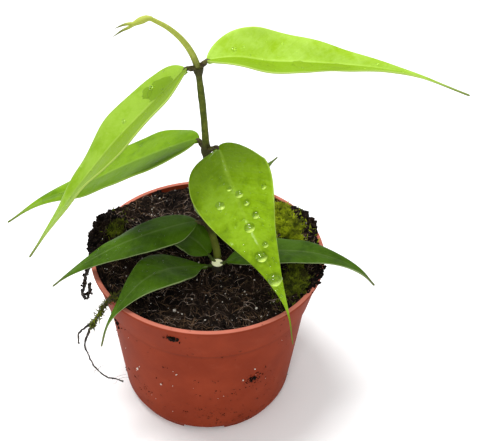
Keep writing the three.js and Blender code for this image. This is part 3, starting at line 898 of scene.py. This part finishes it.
# %% The leaves' midribs, widths and folds
MIDRIBS = {  # the node, points over the soil, then points over the rim
    "leaf_top_right": (
        "top",
        [
            (-0.7, -1, 101.0), (10.4, 1, 101.8), (23.6, 3, 99.6), (50.1, 6, 97.3), (79.3, 6, 94.0),
            (104.5, 4, 86.0),
        ],
        [],
    ),
    "leaf_top_left": (
        "top",
        [
            (-8.7, -4, 98.9), (-18.8, -10, 90.1), (-31.6, -18, 78.8), (-47.4, -25, 60.8),
            (-60.6, -28, 41.5), (-72.8, -30, 22.4),
        ],
        [],
    ),
    "leaf_middle_left": (
        "middle",
        [
            (-4.4, 1, 62.8), (-17.1, 3, 56.7), (-33.7, 5, 46.9), (-56.2, 6, 33.2), (-74.7, 6, 23.7),
            (-90.6, 5, 11.9),
        ],
        [],
    ),
    "leaf_middle_front": (
        "middle", [(4.1, -6, 63.9), (8.5, -14, 56.4), (16.4, -28, 44.6)],
        [(303.3, -3.4, 25.7), (305, 7.4, 10.5), (305.1, 12.2, -4.2)],
    ),
    "leaf_low_left": (
        "low", [(-4.9, -2.4, 21.9), (-10.5, -4, 21.9), (-22.6, -9, 21.0)],
        [(201.7, -14.7, 14.5), (200.6, -1.4, 8.9), (199, 8.9, 2.2), (198.2, 18, -5.1)],
    ),
    "leaf_low_back": (
        "low", [(1.2, 3.6, 18.4), (7.3, 18, 15.3), (15.8, 32, 15.4), (23.7, 44, 16.8), (31.2, 52, 19.6)],
        [],
    ),
    "leaf_base_front": (
        "cut", [(-0.2, -9.2, 2.6), (-9.3, -15.6, 7.2), (-18.2, -23.4, 11.6)],
        [(231.1, -12, 9.3), (229.6, -1.8, 4.6), (227.9, 6.8, -4.5), (228.3, 11.8, -14.3)],
    ),
    "leaf_base_right": (
        "cut", [(8.6, -7.8, 4.2), (14.4, -7, 6.5), (24.1, -6, 9.0)],
        [
            (349.1, -15.5, 6.9), (349.5, -3.2, 7.1), (348.7, 9, 5.3), (348.4, 16.9, 1.5),
            (347.8, 23.3, -4.1),
        ],
    ),
    "leaf_base_small": (
        "cut",
        [(0.2, -4.2, 5.0), (-5.3, 0.2, 8.6), (-12.2, 4.4, 9.6), (-19.4, 8.2, 8.8), (-27.2, 11.5, 7.6)],
        [],
    ),
}
SHAPES = {  # width in mm, fold in degrees, roundness of shoulder and point, way the face looks
    "leaf_top_right": (28, 29, 0.72, 2.7, (0.1, -0.2, 0.95)),
    "leaf_top_left": (30, 16, 0.58, 1.9, (-0.7, -0.15, 0.66)),
    "leaf_middle_left": (29, 8, 0.6, 1.7, (-0.5, 0.04, 0.86)),
    "leaf_middle_front": (36, 17, 0.68, 3.0, (-0.12, -0.8, 0.6)),
    "leaf_low_left": (19, -4, 0.6, 1.7, (0, 0, 1)),
    "leaf_low_back": (28, 8, 0.55, 1.7, (0, 0, 1)),
    "leaf_base_front": (22, 6, 1.6, 3.3, (0, 0, 1)),
    "leaf_base_right": (17, 8, 0.75, 1.6, (0, 0, 1)),
    "leaf_base_small": (19, 8, 0.6, 1.1, (0, 0, 1)),
}
NODES["cut"] = np.array((*CUT_TOP[:2], SOIL_LEVEL + 1.6 * MM))


# %% Laying a blade along its midrib
ROWS_DRAWN_IN = 1.3
COLUMNS_SPREAD = 0.9


class Blade:
    def __init__(self, name):
        node, over_soil, over_rim = MIDRIBS[name]
        knots = [at(*place_at) for place_at in over_soil] + [by_rim(*place_at) for place_at in over_rim]
        width, fold, self.shoulder, self.point, face = SHAPES[name]
        self.node = node
        self.seed = 7.3 * list(MIDRIBS).index(name)
        self.width = width * MM
        self.fold = math.radians(fold)
        self.face = np.array(face, float)
        away = (knots[0] - NODES[node]) / np.linalg.norm(knots[0] - NODES[node])
        self.root = NODES[node] + away * 0.4 * MM
        start = NODES[node] + away * 3.4 * MM
        self.line = Line([start, *knots])
        self.stalk = float(np.linalg.norm(start - knots[0]) / self.line.length)

    def half_width(self, t):
        widest = self.shoulder / (self.shoulder + self.point)
        peak = widest**self.shoulder * (1 - widest) ** self.point
        blade = 0.5 * self.width * t**self.shoulder * (1 - t) ** self.point / peak
        return np.maximum(blade, (0.85 - 0.65 * t) * MM)

    def frame(self, t):
        share = self.stalk + (0.997 - self.stalk) * t
        middle = self.line.read(share)
        ahead = self.line.direction(share)
        above = self.face - ahead * (ahead @ self.face)[:, None]
        above /= np.linalg.norm(above, axis=1)[:, None]
        return middle, ahead, above, np.cross(ahead, above)

    def ripple(self, t, v):
        return noise.noise(Vector((6 * t + self.seed, 1.4 * v, self.seed)))

    def surface(self, t, v):
        """Points and upward directions for shares t along and v across, from -1 to 1."""
        t, v = np.asarray(t, float), np.asarray(v, float)
        middle, ahead, above, side = self.frame(t)
        half = self.half_width(t)
        across = half * v * math.cos(self.fold)
        soft_v = np.sqrt(v * v + 0.012) - 0.11
        lift = half * soft_v * math.sin(self.fold)
        scale = np.minimum(half / (9 * MM), 1)
        waves = np.array([self.ripple(a, b) for a, b in zip(t, v)])
        lift += (1.5 * np.abs(v) ** 1.5 + 0.25) * waves * scale * MM
        lift -= 0.7 * MM * np.abs(v) ** 5 * scale
        lift -= 0.18 * MM * np.exp(-((v * half / (0.9 * MM)) ** 2)) * (1 - t) * scale
        place_at = middle + side * across[:, None] + above * lift[:, None]
        tilt = np.sign(v) * math.sin(self.fold)
        facing = above - side * tilt[:, None]
        return place_at, facing / np.linalg.norm(facing, axis=1)[:, None]


def grow(blade, rows=84, columns=26):
    take()
    bpy.ops.mesh.primitive_grid_add(x_subdivisions=rows, y_subdivisions=columns, size=2)
    leaf = bpy.context.object
    flat, _ = points_and_normals(leaf)
    t = ((flat[:, 0] + 1) / 2) ** ROWS_DRAWN_IN
    v = flat[:, 1].astype(float)
    spots, _ = blade.surface(np.clip(t, 0.0005, 1), np.sign(v) * np.abs(v) ** COLUMNS_SPREAD)
    leaf.data.vertices.foreach_set("co", spots.astype(np.float32).ravel())
    leaf.data.update()
    modify(leaf, "SOLIDIFY", thickness=0.85 * MM, offset=0, use_even_offset=False)
    modify(leaf, "SUBSURF", levels=1, render_levels=1)
    neck = blade.line.read(np.linspace(0, blade.stalk, 8))
    thick = 0.75 if blade.node == "cut" else 1.0
    stalk = [(vector(p), 1.15 * thick * MM) for p in (blade.root, *neck[:2])]
    stalk += [(vector(p), 0.95 * thick * MM) for p in neck[2:]]
    middle, _, above, _ = blade.frame(np.linspace(0, 0.8, 24))
    radii = np.linspace(0.85, 0.25, 24) * MM
    rib = [(vector(p), r) for p, r in zip(middle - above * radii[:, None], radii)]
    stalk = strands("stalk", [stalk + [(rib[1][0], 0.7 * MM)]], sides=3)
    return leaf, strands("rib", [rib], sides=3), stalk


# %% [markdown]
# A leaf's colour runs along it and across it, so its finish reads the blank's UV map: U runs
# from the stalk to the point and V across. The midrib and the margin are paler lines, side
# veins are barely seen, and the flesh is mottled, with pale flecks of painted sheen. Painted shade
# darkens the near half of some leaves and some blades towards their stalks. Water stands on some
# leaves as dark glossy patches along the midrib. The large drops have their places here, since
# each also shows as a darker round of painted shade with a painted bright lower edge, where the
# drop would gather the light on the leaf.


# %% Where the large drops stand
DROPS = {  # share along the leaf, share across it, radius in mm
    "leaf_middle_front": [
        (0.66, 0.05, 3.2), (0.54, 0.2, 2.6), (0.50, -0.35, 1.4), (0.40, 0.0, 2.2), (0.36, -0.35, 1.7),
        (0.26, 0.45, 2.0), (0.24, -0.1, 1.7), (0.29, -0.2, 1.4), (0.26, -0.75, 1.3), (0.20, 0.1, 1.1),
    ],
    "leaf_top_left": [(0.14, 0.45, 1.3), (0.3, 0.3, 1.1)],
    "leaf_middle_left": [(0.5, 0.3, 1.2)],
    "leaf_top_right": [(0.1, -0.3, 1.0)],
    "leaf_low_left": [(0.35, 0.4, 0.8), (0.5, -0.3, 0.7)],
    "leaf_base_front": [(0.3, 0.45, 0.8), (0.42, 0.0, 0.9), (0.2, -0.3, 0.6)],
}


# %% Leaf finishes
def painted_drop_light(leaf, name, flesh, deep, along, side):
    """Paints light and shade for each drop: a darker round of painted shade under it and a painted bright
    crescent at its lower edge.
    """
    blade = Blade(name)
    for t, v, size in DROPS[name]:
        u = t ** (1 / ROWS_DRAWN_IN)
        w = 0.5 + 0.5 * math.copysign(abs(v) ** (1 / COLUMNS_SPREAD), v)
        long_u = size * MM / blade.line.length / (ROWS_DRAWN_IN * u ** (ROWS_DRAWN_IN - 1))
        wide_v = size * MM / (2 * float(blade.half_width(np.array([t]))[0]))
        du = (along - u) / long_u
        dv = (side - w) / wide_v
        inside = (du * du + dv * dv).rise(1.0, 0.8)
        # painted shade under each drop, then a painted bright crescent at its lower edge
        flesh = leaf.mix(inside * 0.6, flesh, deep)
        flesh = leaf.mix(inside * du.rise(0.1, 0.75) * 0.8, flesh, (0.62, 0.82, 0.15))
    return flesh


def leaf_finish(
    name, light, deep, pale, painted_shade_side=None, base=0.0, edge=0.5, film=0.0, ripple=0.7, wet=(), drops="",
    seed=0.0,
):
    leaf = Finish(name, Specular_IOR_Level=0.1, Coat_Roughness=0.06, Coat_IOR=1.33)
    uv = leaf.node("ShaderNodeUVMap", {"uv_map": "UVMap"})
    along, side = leaf.part_of(uv, "X"), leaf.part_of(uv, "Y")
    across = abs(side - 0.5) * 2
    shift = leaf.node(
        "ShaderNodeMapping", sockets={"Vector": leaf.where(), "Location": (seed, seed, seed)}
    )
    broad = leaf.noise(0.013, detail=3, where=shift)
    small = leaf.noise(0.0028, detail=4, rough=0.6, where=shift)
    tone = broad * 0.65 + small * 0.35
    flesh = leaf.mix(tone.rise(0.30, 0.58), deep, light)
    # painted shade: the blade darker towards its stalk, by base
    flesh = leaf.mix(along.rise(0.5, 0.0) * base, flesh, deep)
    # painted shade: the near half of the blade darker, fading out towards the point
    if painted_shade_side:
        first, last, share, shaded = painted_shade_side
        flesh = leaf.mix(side.rise(first, last) * along.rise(0.95, 0.55) * share, flesh, shaded)
    slant = along * 26 - across * 3.2
    vein = abs(slant.math("FRACT", slant) - 0.5) * 2
    vein = vein.rise(0.86, 1.0) * across.rise(0.0, 0.12) * across.rise(1.0, 0.7)
    flesh = leaf.mix(vein * 0.05, flesh, pale)
    rib = across.rise(0.07, 0.015)
    margin = across.rise(0.955, 0.985)
    flesh = leaf.mix(rib * 0.14, flesh, pale)
    flesh = leaf.mix(margin * edge, flesh, pale)
    # painted sheen: small pale flecks over the blade
    sheen_fleck = leaf.noise(0.0011, detail=2, where=shift).rise(0.58, 0.8)
    flesh = leaf.mix(sheen_fleck * 0.12, flesh, pale)
    flesh = leaf.mix(along.rise(0.86, 1.0) * 0.7, flesh, (0.10, 0.11, 0.035))
    roughness = 0.36 + 0.16 * small
    soaked = (broad * 0.6 + small * 0.4).rise(0.50, 0.55) * film
    hollow = small * 0.4 + broad * 0.8 - 0.03 * vein
    for middle_u, middle_v, long_u, wide_v in wet:
        du = (along - middle_u + (small - 0.5) * 0.07) / long_u
        dv = (side - middle_v + (broad - 0.5) * 0.3) / wide_v
        pool = (du * du + dv * dv).rise(1.0, 0.85)
        flesh = leaf.mix(pool * 0.85, flesh, tuple(0.75 * c for c in deep))
        soaked = soaked.most(pool * 0.25)
        hollow = hollow + pool * 0.25
    if drops:
        flesh = painted_drop_light(leaf, drops, flesh, deep, along, side)
    leaf.give(Base_Color=flesh, Roughness=roughness, Coat_Weight=soaked)
    leaf.give(Normal=leaf.bump(hollow, ripple * MM))
    return leaf.material


def stalk_finish(name, dark, light):
    stalk = Finish(name, Roughness=0.5, Specular_IOR_Level=0.15)
    stalk.give(Base_Color=stalk.mix(stalk.noise(0.002).rise(0.35, 0.7), dark, light))
    return stalk.material


purple_stalk = stalk_finish("purple_stalk", (0.030, 0.020, 0.010), (0.085, 0.080, 0.022))
green_stalk = stalk_finish("green_stalk", (0.030, 0.050, 0.006), (0.075, 0.100, 0.016))
top_right = leaf_finish(
    "leaf_lime_right",
    light=(0.33, 0.52, 0.060),
    deep=(0.25, 0.42, 0.010),
    pale=(0.55, 0.68, 0.20),
    painted_shade_side=(0.49, 0.53, 0.9, (0.175, 0.31, 0.003)),
    wet=((0.30, 0.66, 0.03, 0.12), (0.44, 0.70, 0.035, 0.20), (0.56, 0.70, 0.045, 0.22)),
    seed=0.1,
)
top_left = leaf_finish(
    "leaf_lime_left",
    light=(0.225, 0.37, 0.030),
    deep=(0.165, 0.30, 0.004),
    pale=(0.46, 0.58, 0.15),
    painted_shade_side=(0.52, 0.47, 0.8, (0.135, 0.235, 0.0)),
    wet=((0.19, 0.60, 0.075, 0.16), (0.25, 0.70, 0.03, 0.10)),
    seed=0.2,
)
middle_left = leaf_finish(
    "leaf_green_left",
    light=(0.17, 0.31, 0.006),
    deep=(0.085, 0.185, 0.0),
    pale=(0.34, 0.48, 0.09),
    painted_shade_side=(0.53, 0.44, 0.75, (0.080, 0.165, 0.0)),
    base=0.5,
    seed=0.3,
)
middle_front = leaf_finish(
    "leaf_green_front",
    light=(0.20, 0.345, 0.002),
    deep=(0.088, 0.165, 0.0),
    pale=(0.38, 0.54, 0.06),
    base=1.0,
    film=0.5,
    ripple=1.9,
    drops="leaf_middle_front",
    seed=0.4,
)
old = leaf_finish(
    "leaf_deep_green",
    light=(0.052, 0.118, 0.002),
    deep=(0.026, 0.064, 0.001),
    pale=(0.26, 0.33, 0.14),
    edge=0.75,
    film=0.1,
    seed=0.5,
)

# %% Nine leaves
SKINS = {
    "leaf_top_right": top_right, "leaf_top_left": top_left, "leaf_middle_left": middle_left,
    "leaf_middle_front": middle_front,
}
BLADES = {}
for name in MIDRIBS:
    blade = BLADES[name] = Blade(name)
    leaf, rib, stalk = grow(blade)
    flesh = SKINS.get(name, old)
    leaf.data.materials.append(flesh)
    rib.data.materials.append(flesh)
    stalk.data.materials.append(green_stalk if blade.node == "cut" else purple_stalk)
    leaf = join(name + "_blade", leaf, rib, stalk)
    settle(leaf, angle=70)
    young = "top" in name or "middle" in name
    place(leaf, "leaf_young" if young else "leaf_old", name)

# %% [markdown]
# ## Water
#
# Misted leaves carry drops: flat domes of clear water, from a pinhead to a pea. Each is a
# flattened ball that sits in the blade's surface, where the blade's own curve says. Real water
# lets light through to the leaf under it, so shadow rays pass the drops.

# %% Drops on the leaves
water = Finish(
    "water", Base_Color=(1, 1, 1, 1), Roughness=0.02, IOR=1.33, Specular_IOR_Level=1.0,
    Transmission_Weight=1.0,
)
shadow = water.node("ShaderNodeLightPath", out="Is Shadow Ray")
clear = water.node("ShaderNodeBsdfTransparent")
glassy = Field(water, water.skin.outputs[0])
wet_look = water.node("ShaderNodeMixShader", sockets={0: shadow * 0.55, 1: glassy, 2: clear})
water.feed(water.tree.nodes["Material Output"].inputs["Surface"], wet_look)


def bead(blade, t, v, size, sides=10):
    spot, facing = blade.surface([t], [v])
    take()
    bpy.ops.mesh.primitive_uv_sphere_add(segments=sides, ring_count=sides // 2 + 1, radius=1)
    drop = bpy.context.object
    turn = vector(facing[0]).to_track_quat("Z", "Y").to_matrix().to_4x4()
    shape = Matrix.Diagonal((size, size * luck.uniform(0.7, 1), size * 0.62, 1))
    raised = vector(spot[0] + facing[0] * 0.45 * MM)
    drop.data.transform(Matrix.Translation(raised) @ turn @ shape)
    return drop


beads = []
for name, main in DROPS.items():
    many = 70 if name == "leaf_middle_front" else 18
    for t, v, size in main:
        beads.append(bead(BLADES[name], t, v, size * MM, sides=24))
    for _ in range(many):
        t, v = luck.uniform(0.06, 0.75), luck.uniform(-0.85, 0.85)
        beads.append(bead(BLADES[name], t, v, luck.choice((0.3, 0.4, 0.6)) * MM))
drops = join("water_drops", *beads)
dress(drops, water.material, None, angle=60)

# %% [markdown]
# ## Loose roots and dirt
#
# A dead root with moss and hairs on it hangs over the rim, another curls outside it, and crumbs
# of wet peat stick to the wall.

# %% Roots
root_knots = [
    (221.8, -9, -0.3), (222, -3, 1.6), (222, 1.4, 1.6), (221, 7.3, -6), (217.7, 10.4, -16),
    (216.7, 12, -24), (216.5, 10.9, -30), (218.1, 9, -38), (220.3, 5.7, -44), (224.3, -1.1, -49),
]
curl_knots = [
    (197.5, -1, 3.4), (200.5, 2.6, 2.4), (202.5, 4.6, -3), (202.5, 5.8, -8), (202, 4.2, -12),
    (200.5, 2.4, -9.5), (199.5, 2.2, -6),
]
branch_knots = [(220.6, 7.8, -7.5), (218.5, 11.5, -11), (216.8, 14.2, -15), (216.4, 14.6, -21)]
lines = [Line([by_rim(*knot) for knot in knots]) for knots in (root_knots, curl_knots, branch_knots)]
root_line, curl_line, branch_line = lines


def spot_on(line, share):
    return vector(line.read([share])[0])


def gnarl(line, thick, thin, count, wobble):
    """A strand that wobbles along a line and thins out; sizes in mm."""
    thick, thin, wobble = thick * MM, thin * MM, wobble * MM
    spots = line.read(np.linspace(0, 1, count))
    path = []
    for i, spot in enumerate(spots):
        share = i / (count - 1)
        shake = any_way() * wobble
        radius = thick + (thin - thick) * min(1, 1.6 * share)
        path.append((vector(spot) + shake, radius * luck.uniform(0.75, 1.25)))
    return path


def hairs(line, many, reach):
    made = []
    for _ in range(many):
        foot = spot_on(line, luck.uniform(0.1, 0.98))
        lean = any_way().normalized()
        tall = luck.uniform(0.3, 1) * reach
        limb = [(foot, 0.07 * MM)]
        for i in range(5):
            lean = (lean * 2 + any_way()).normalized()
            limb.append((limb[-1][0] + lean * tall / 5, 0.05 * MM))
        made.append(limb)
    return made


paths = [gnarl(root_line, 1.0, 0.32, 60, 0.22), gnarl(branch_line, 0.6, 0.4, 20, 0.15)]
paths += hairs(root_line, 34, 7 * MM) + hairs(branch_line, 6, 3 * MM)
root = strands("hanging_root", paths)
paths = [gnarl(curl_line, 1.0, 0.7, 36, 0.25)] + hairs(curl_line, 12, 3.5 * MM)
curl = strands("curl_root", paths)
dead = Finish("dead_root", Roughness=0.9)
dead.give(
    Base_Color=dead.mix(
        dead.noise(0.004, detail=4).rise(0.35, 0.7), (0.008, 0.006, 0.005), (0.060, 0.048, 0.034)
    ),
)
mossy = [spot_on(root_line, luck.uniform(0.0, 0.38)) + any_way() * 1.2 * MM for _ in range(420)]
tufts = []
for foot in mossy:
    lean = any_way().normalized()
    middle, end = foot + lean * 0.9 * MM, foot + lean * 2 * MM
    tufts.append([(foot, 0.16 * MM), (middle, 0.2 * MM), (end, 0.03 * MM)])
root_moss = strands("root_moss", tufts, sides=0)
for piece, slot, nodes, finish in (
    (root, "root_dry", ["loose_root"], dead.material),
    (curl, "root_dry", ["curled_root"], dead.material),
    (root_moss, "moss_green", [], dark_moss),
):
    dress(piece, finish, slot, *nodes, angle=60)


# %% Crumbs on the wall
def on_wall(degrees, z, proud=0.2):
    angle, radius = math.radians(degrees), wall_radius(z) + proud
    return Vector((radius * math.cos(angle), radius * math.sin(angle), z)) * MM


CLUMPS = [  # degrees round the wall, height, spread of both, how many crumbs, the largest
    (255, 72, 1.7, 1.0, 46, 0.9),
    (300, 36, 2.6, 1.9, 90, 0.55),
    (210, 55, 2.6, 3.2, 70, 0.6),
]
stuck = []
for degrees, z, spread, tall, many, biggest in CLUMPS:
    for _ in range(6):
        where = on_wall(degrees + luck.gauss(0, 0.4 * spread), z + luck.gauss(0, 0.4 * tall), 0.1)
        stuck.append((where, 1.5 * biggest * MM, 0.6))
    for _ in range(many):
        where = on_wall(degrees + luck.gauss(0, spread), z + luck.gauss(0, tall), 0.1)
        stuck.append((where, luck.uniform(0.15, 0.8) * biggest * MM, 0.55))
for _ in range(62):
    degrees = luck.uniform(0, 360)
    z = luck.choice((luck.uniform(10, 42), luck.uniform(10, 42), luck.uniform(8, 72)))
    for _ in range(luck.randint(1, 7)):
        where = on_wall(degrees + luck.gauss(0, 1.5), z + luck.gauss(0, 0.8), 0.0)
        stuck.append((where, luck.choice((0.14, 0.2, 0.3, 0.42)) * MM, 0.5))
for line, many, reach in ((curl_line, 70, 1.0), (root_line, 40, 0.45)):
    for share in np.linspace(0, 1, many):
        shake = Vector([luck.gauss(0, 0.5) for _ in range(3)]) * reach * MM
        size = luck.uniform(0.2, 0.9) * reach * MM
        stuck.append((spot_on(line, share) + shake, size, 0.7))
wall_crumbs = scatter("wall_crumbs", [crumb_model(30 + i) for i in range(4)], stuck)
dress(wall_crumbs, peat.material, "soil_peat", angle=30)
stuck = []
for size in (0.7, 0.5, 0.45, 0.45, 0.4, 0.35, 0.3):
    stuck.append((on_wall(luck.uniform(220, 305), luck.uniform(27, 50)), size * MM, 0.4))
for _ in range(34):
    where = on_wall(luck.uniform(0, 360), luck.uniform(12, 60), 0.05)
    stuck.append((where, luck.uniform(0.1, 0.26) * MM, 0.7))
wall_grains = scatter("wall_grains", [crumb_model(40 + i) for i in range(3)], stuck)
dress(wall_grains, perlite.material, "soil_peat", angle=30)

# %% [markdown]
# ## The finished size
#
# The finished pieces should fill the imported model's box and no more. Both boxes are printed
# side by side.

# %% Sizes
made_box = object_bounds()
sizes = {"cad": [list(corner) for corner in cad_box], "visual": [list(corner) for corner in made_box]}
for label, (low, high) in sizes.items():
    print(label, [round((b - a) / MM, 1) for a, b in zip(low, high)], "mm")
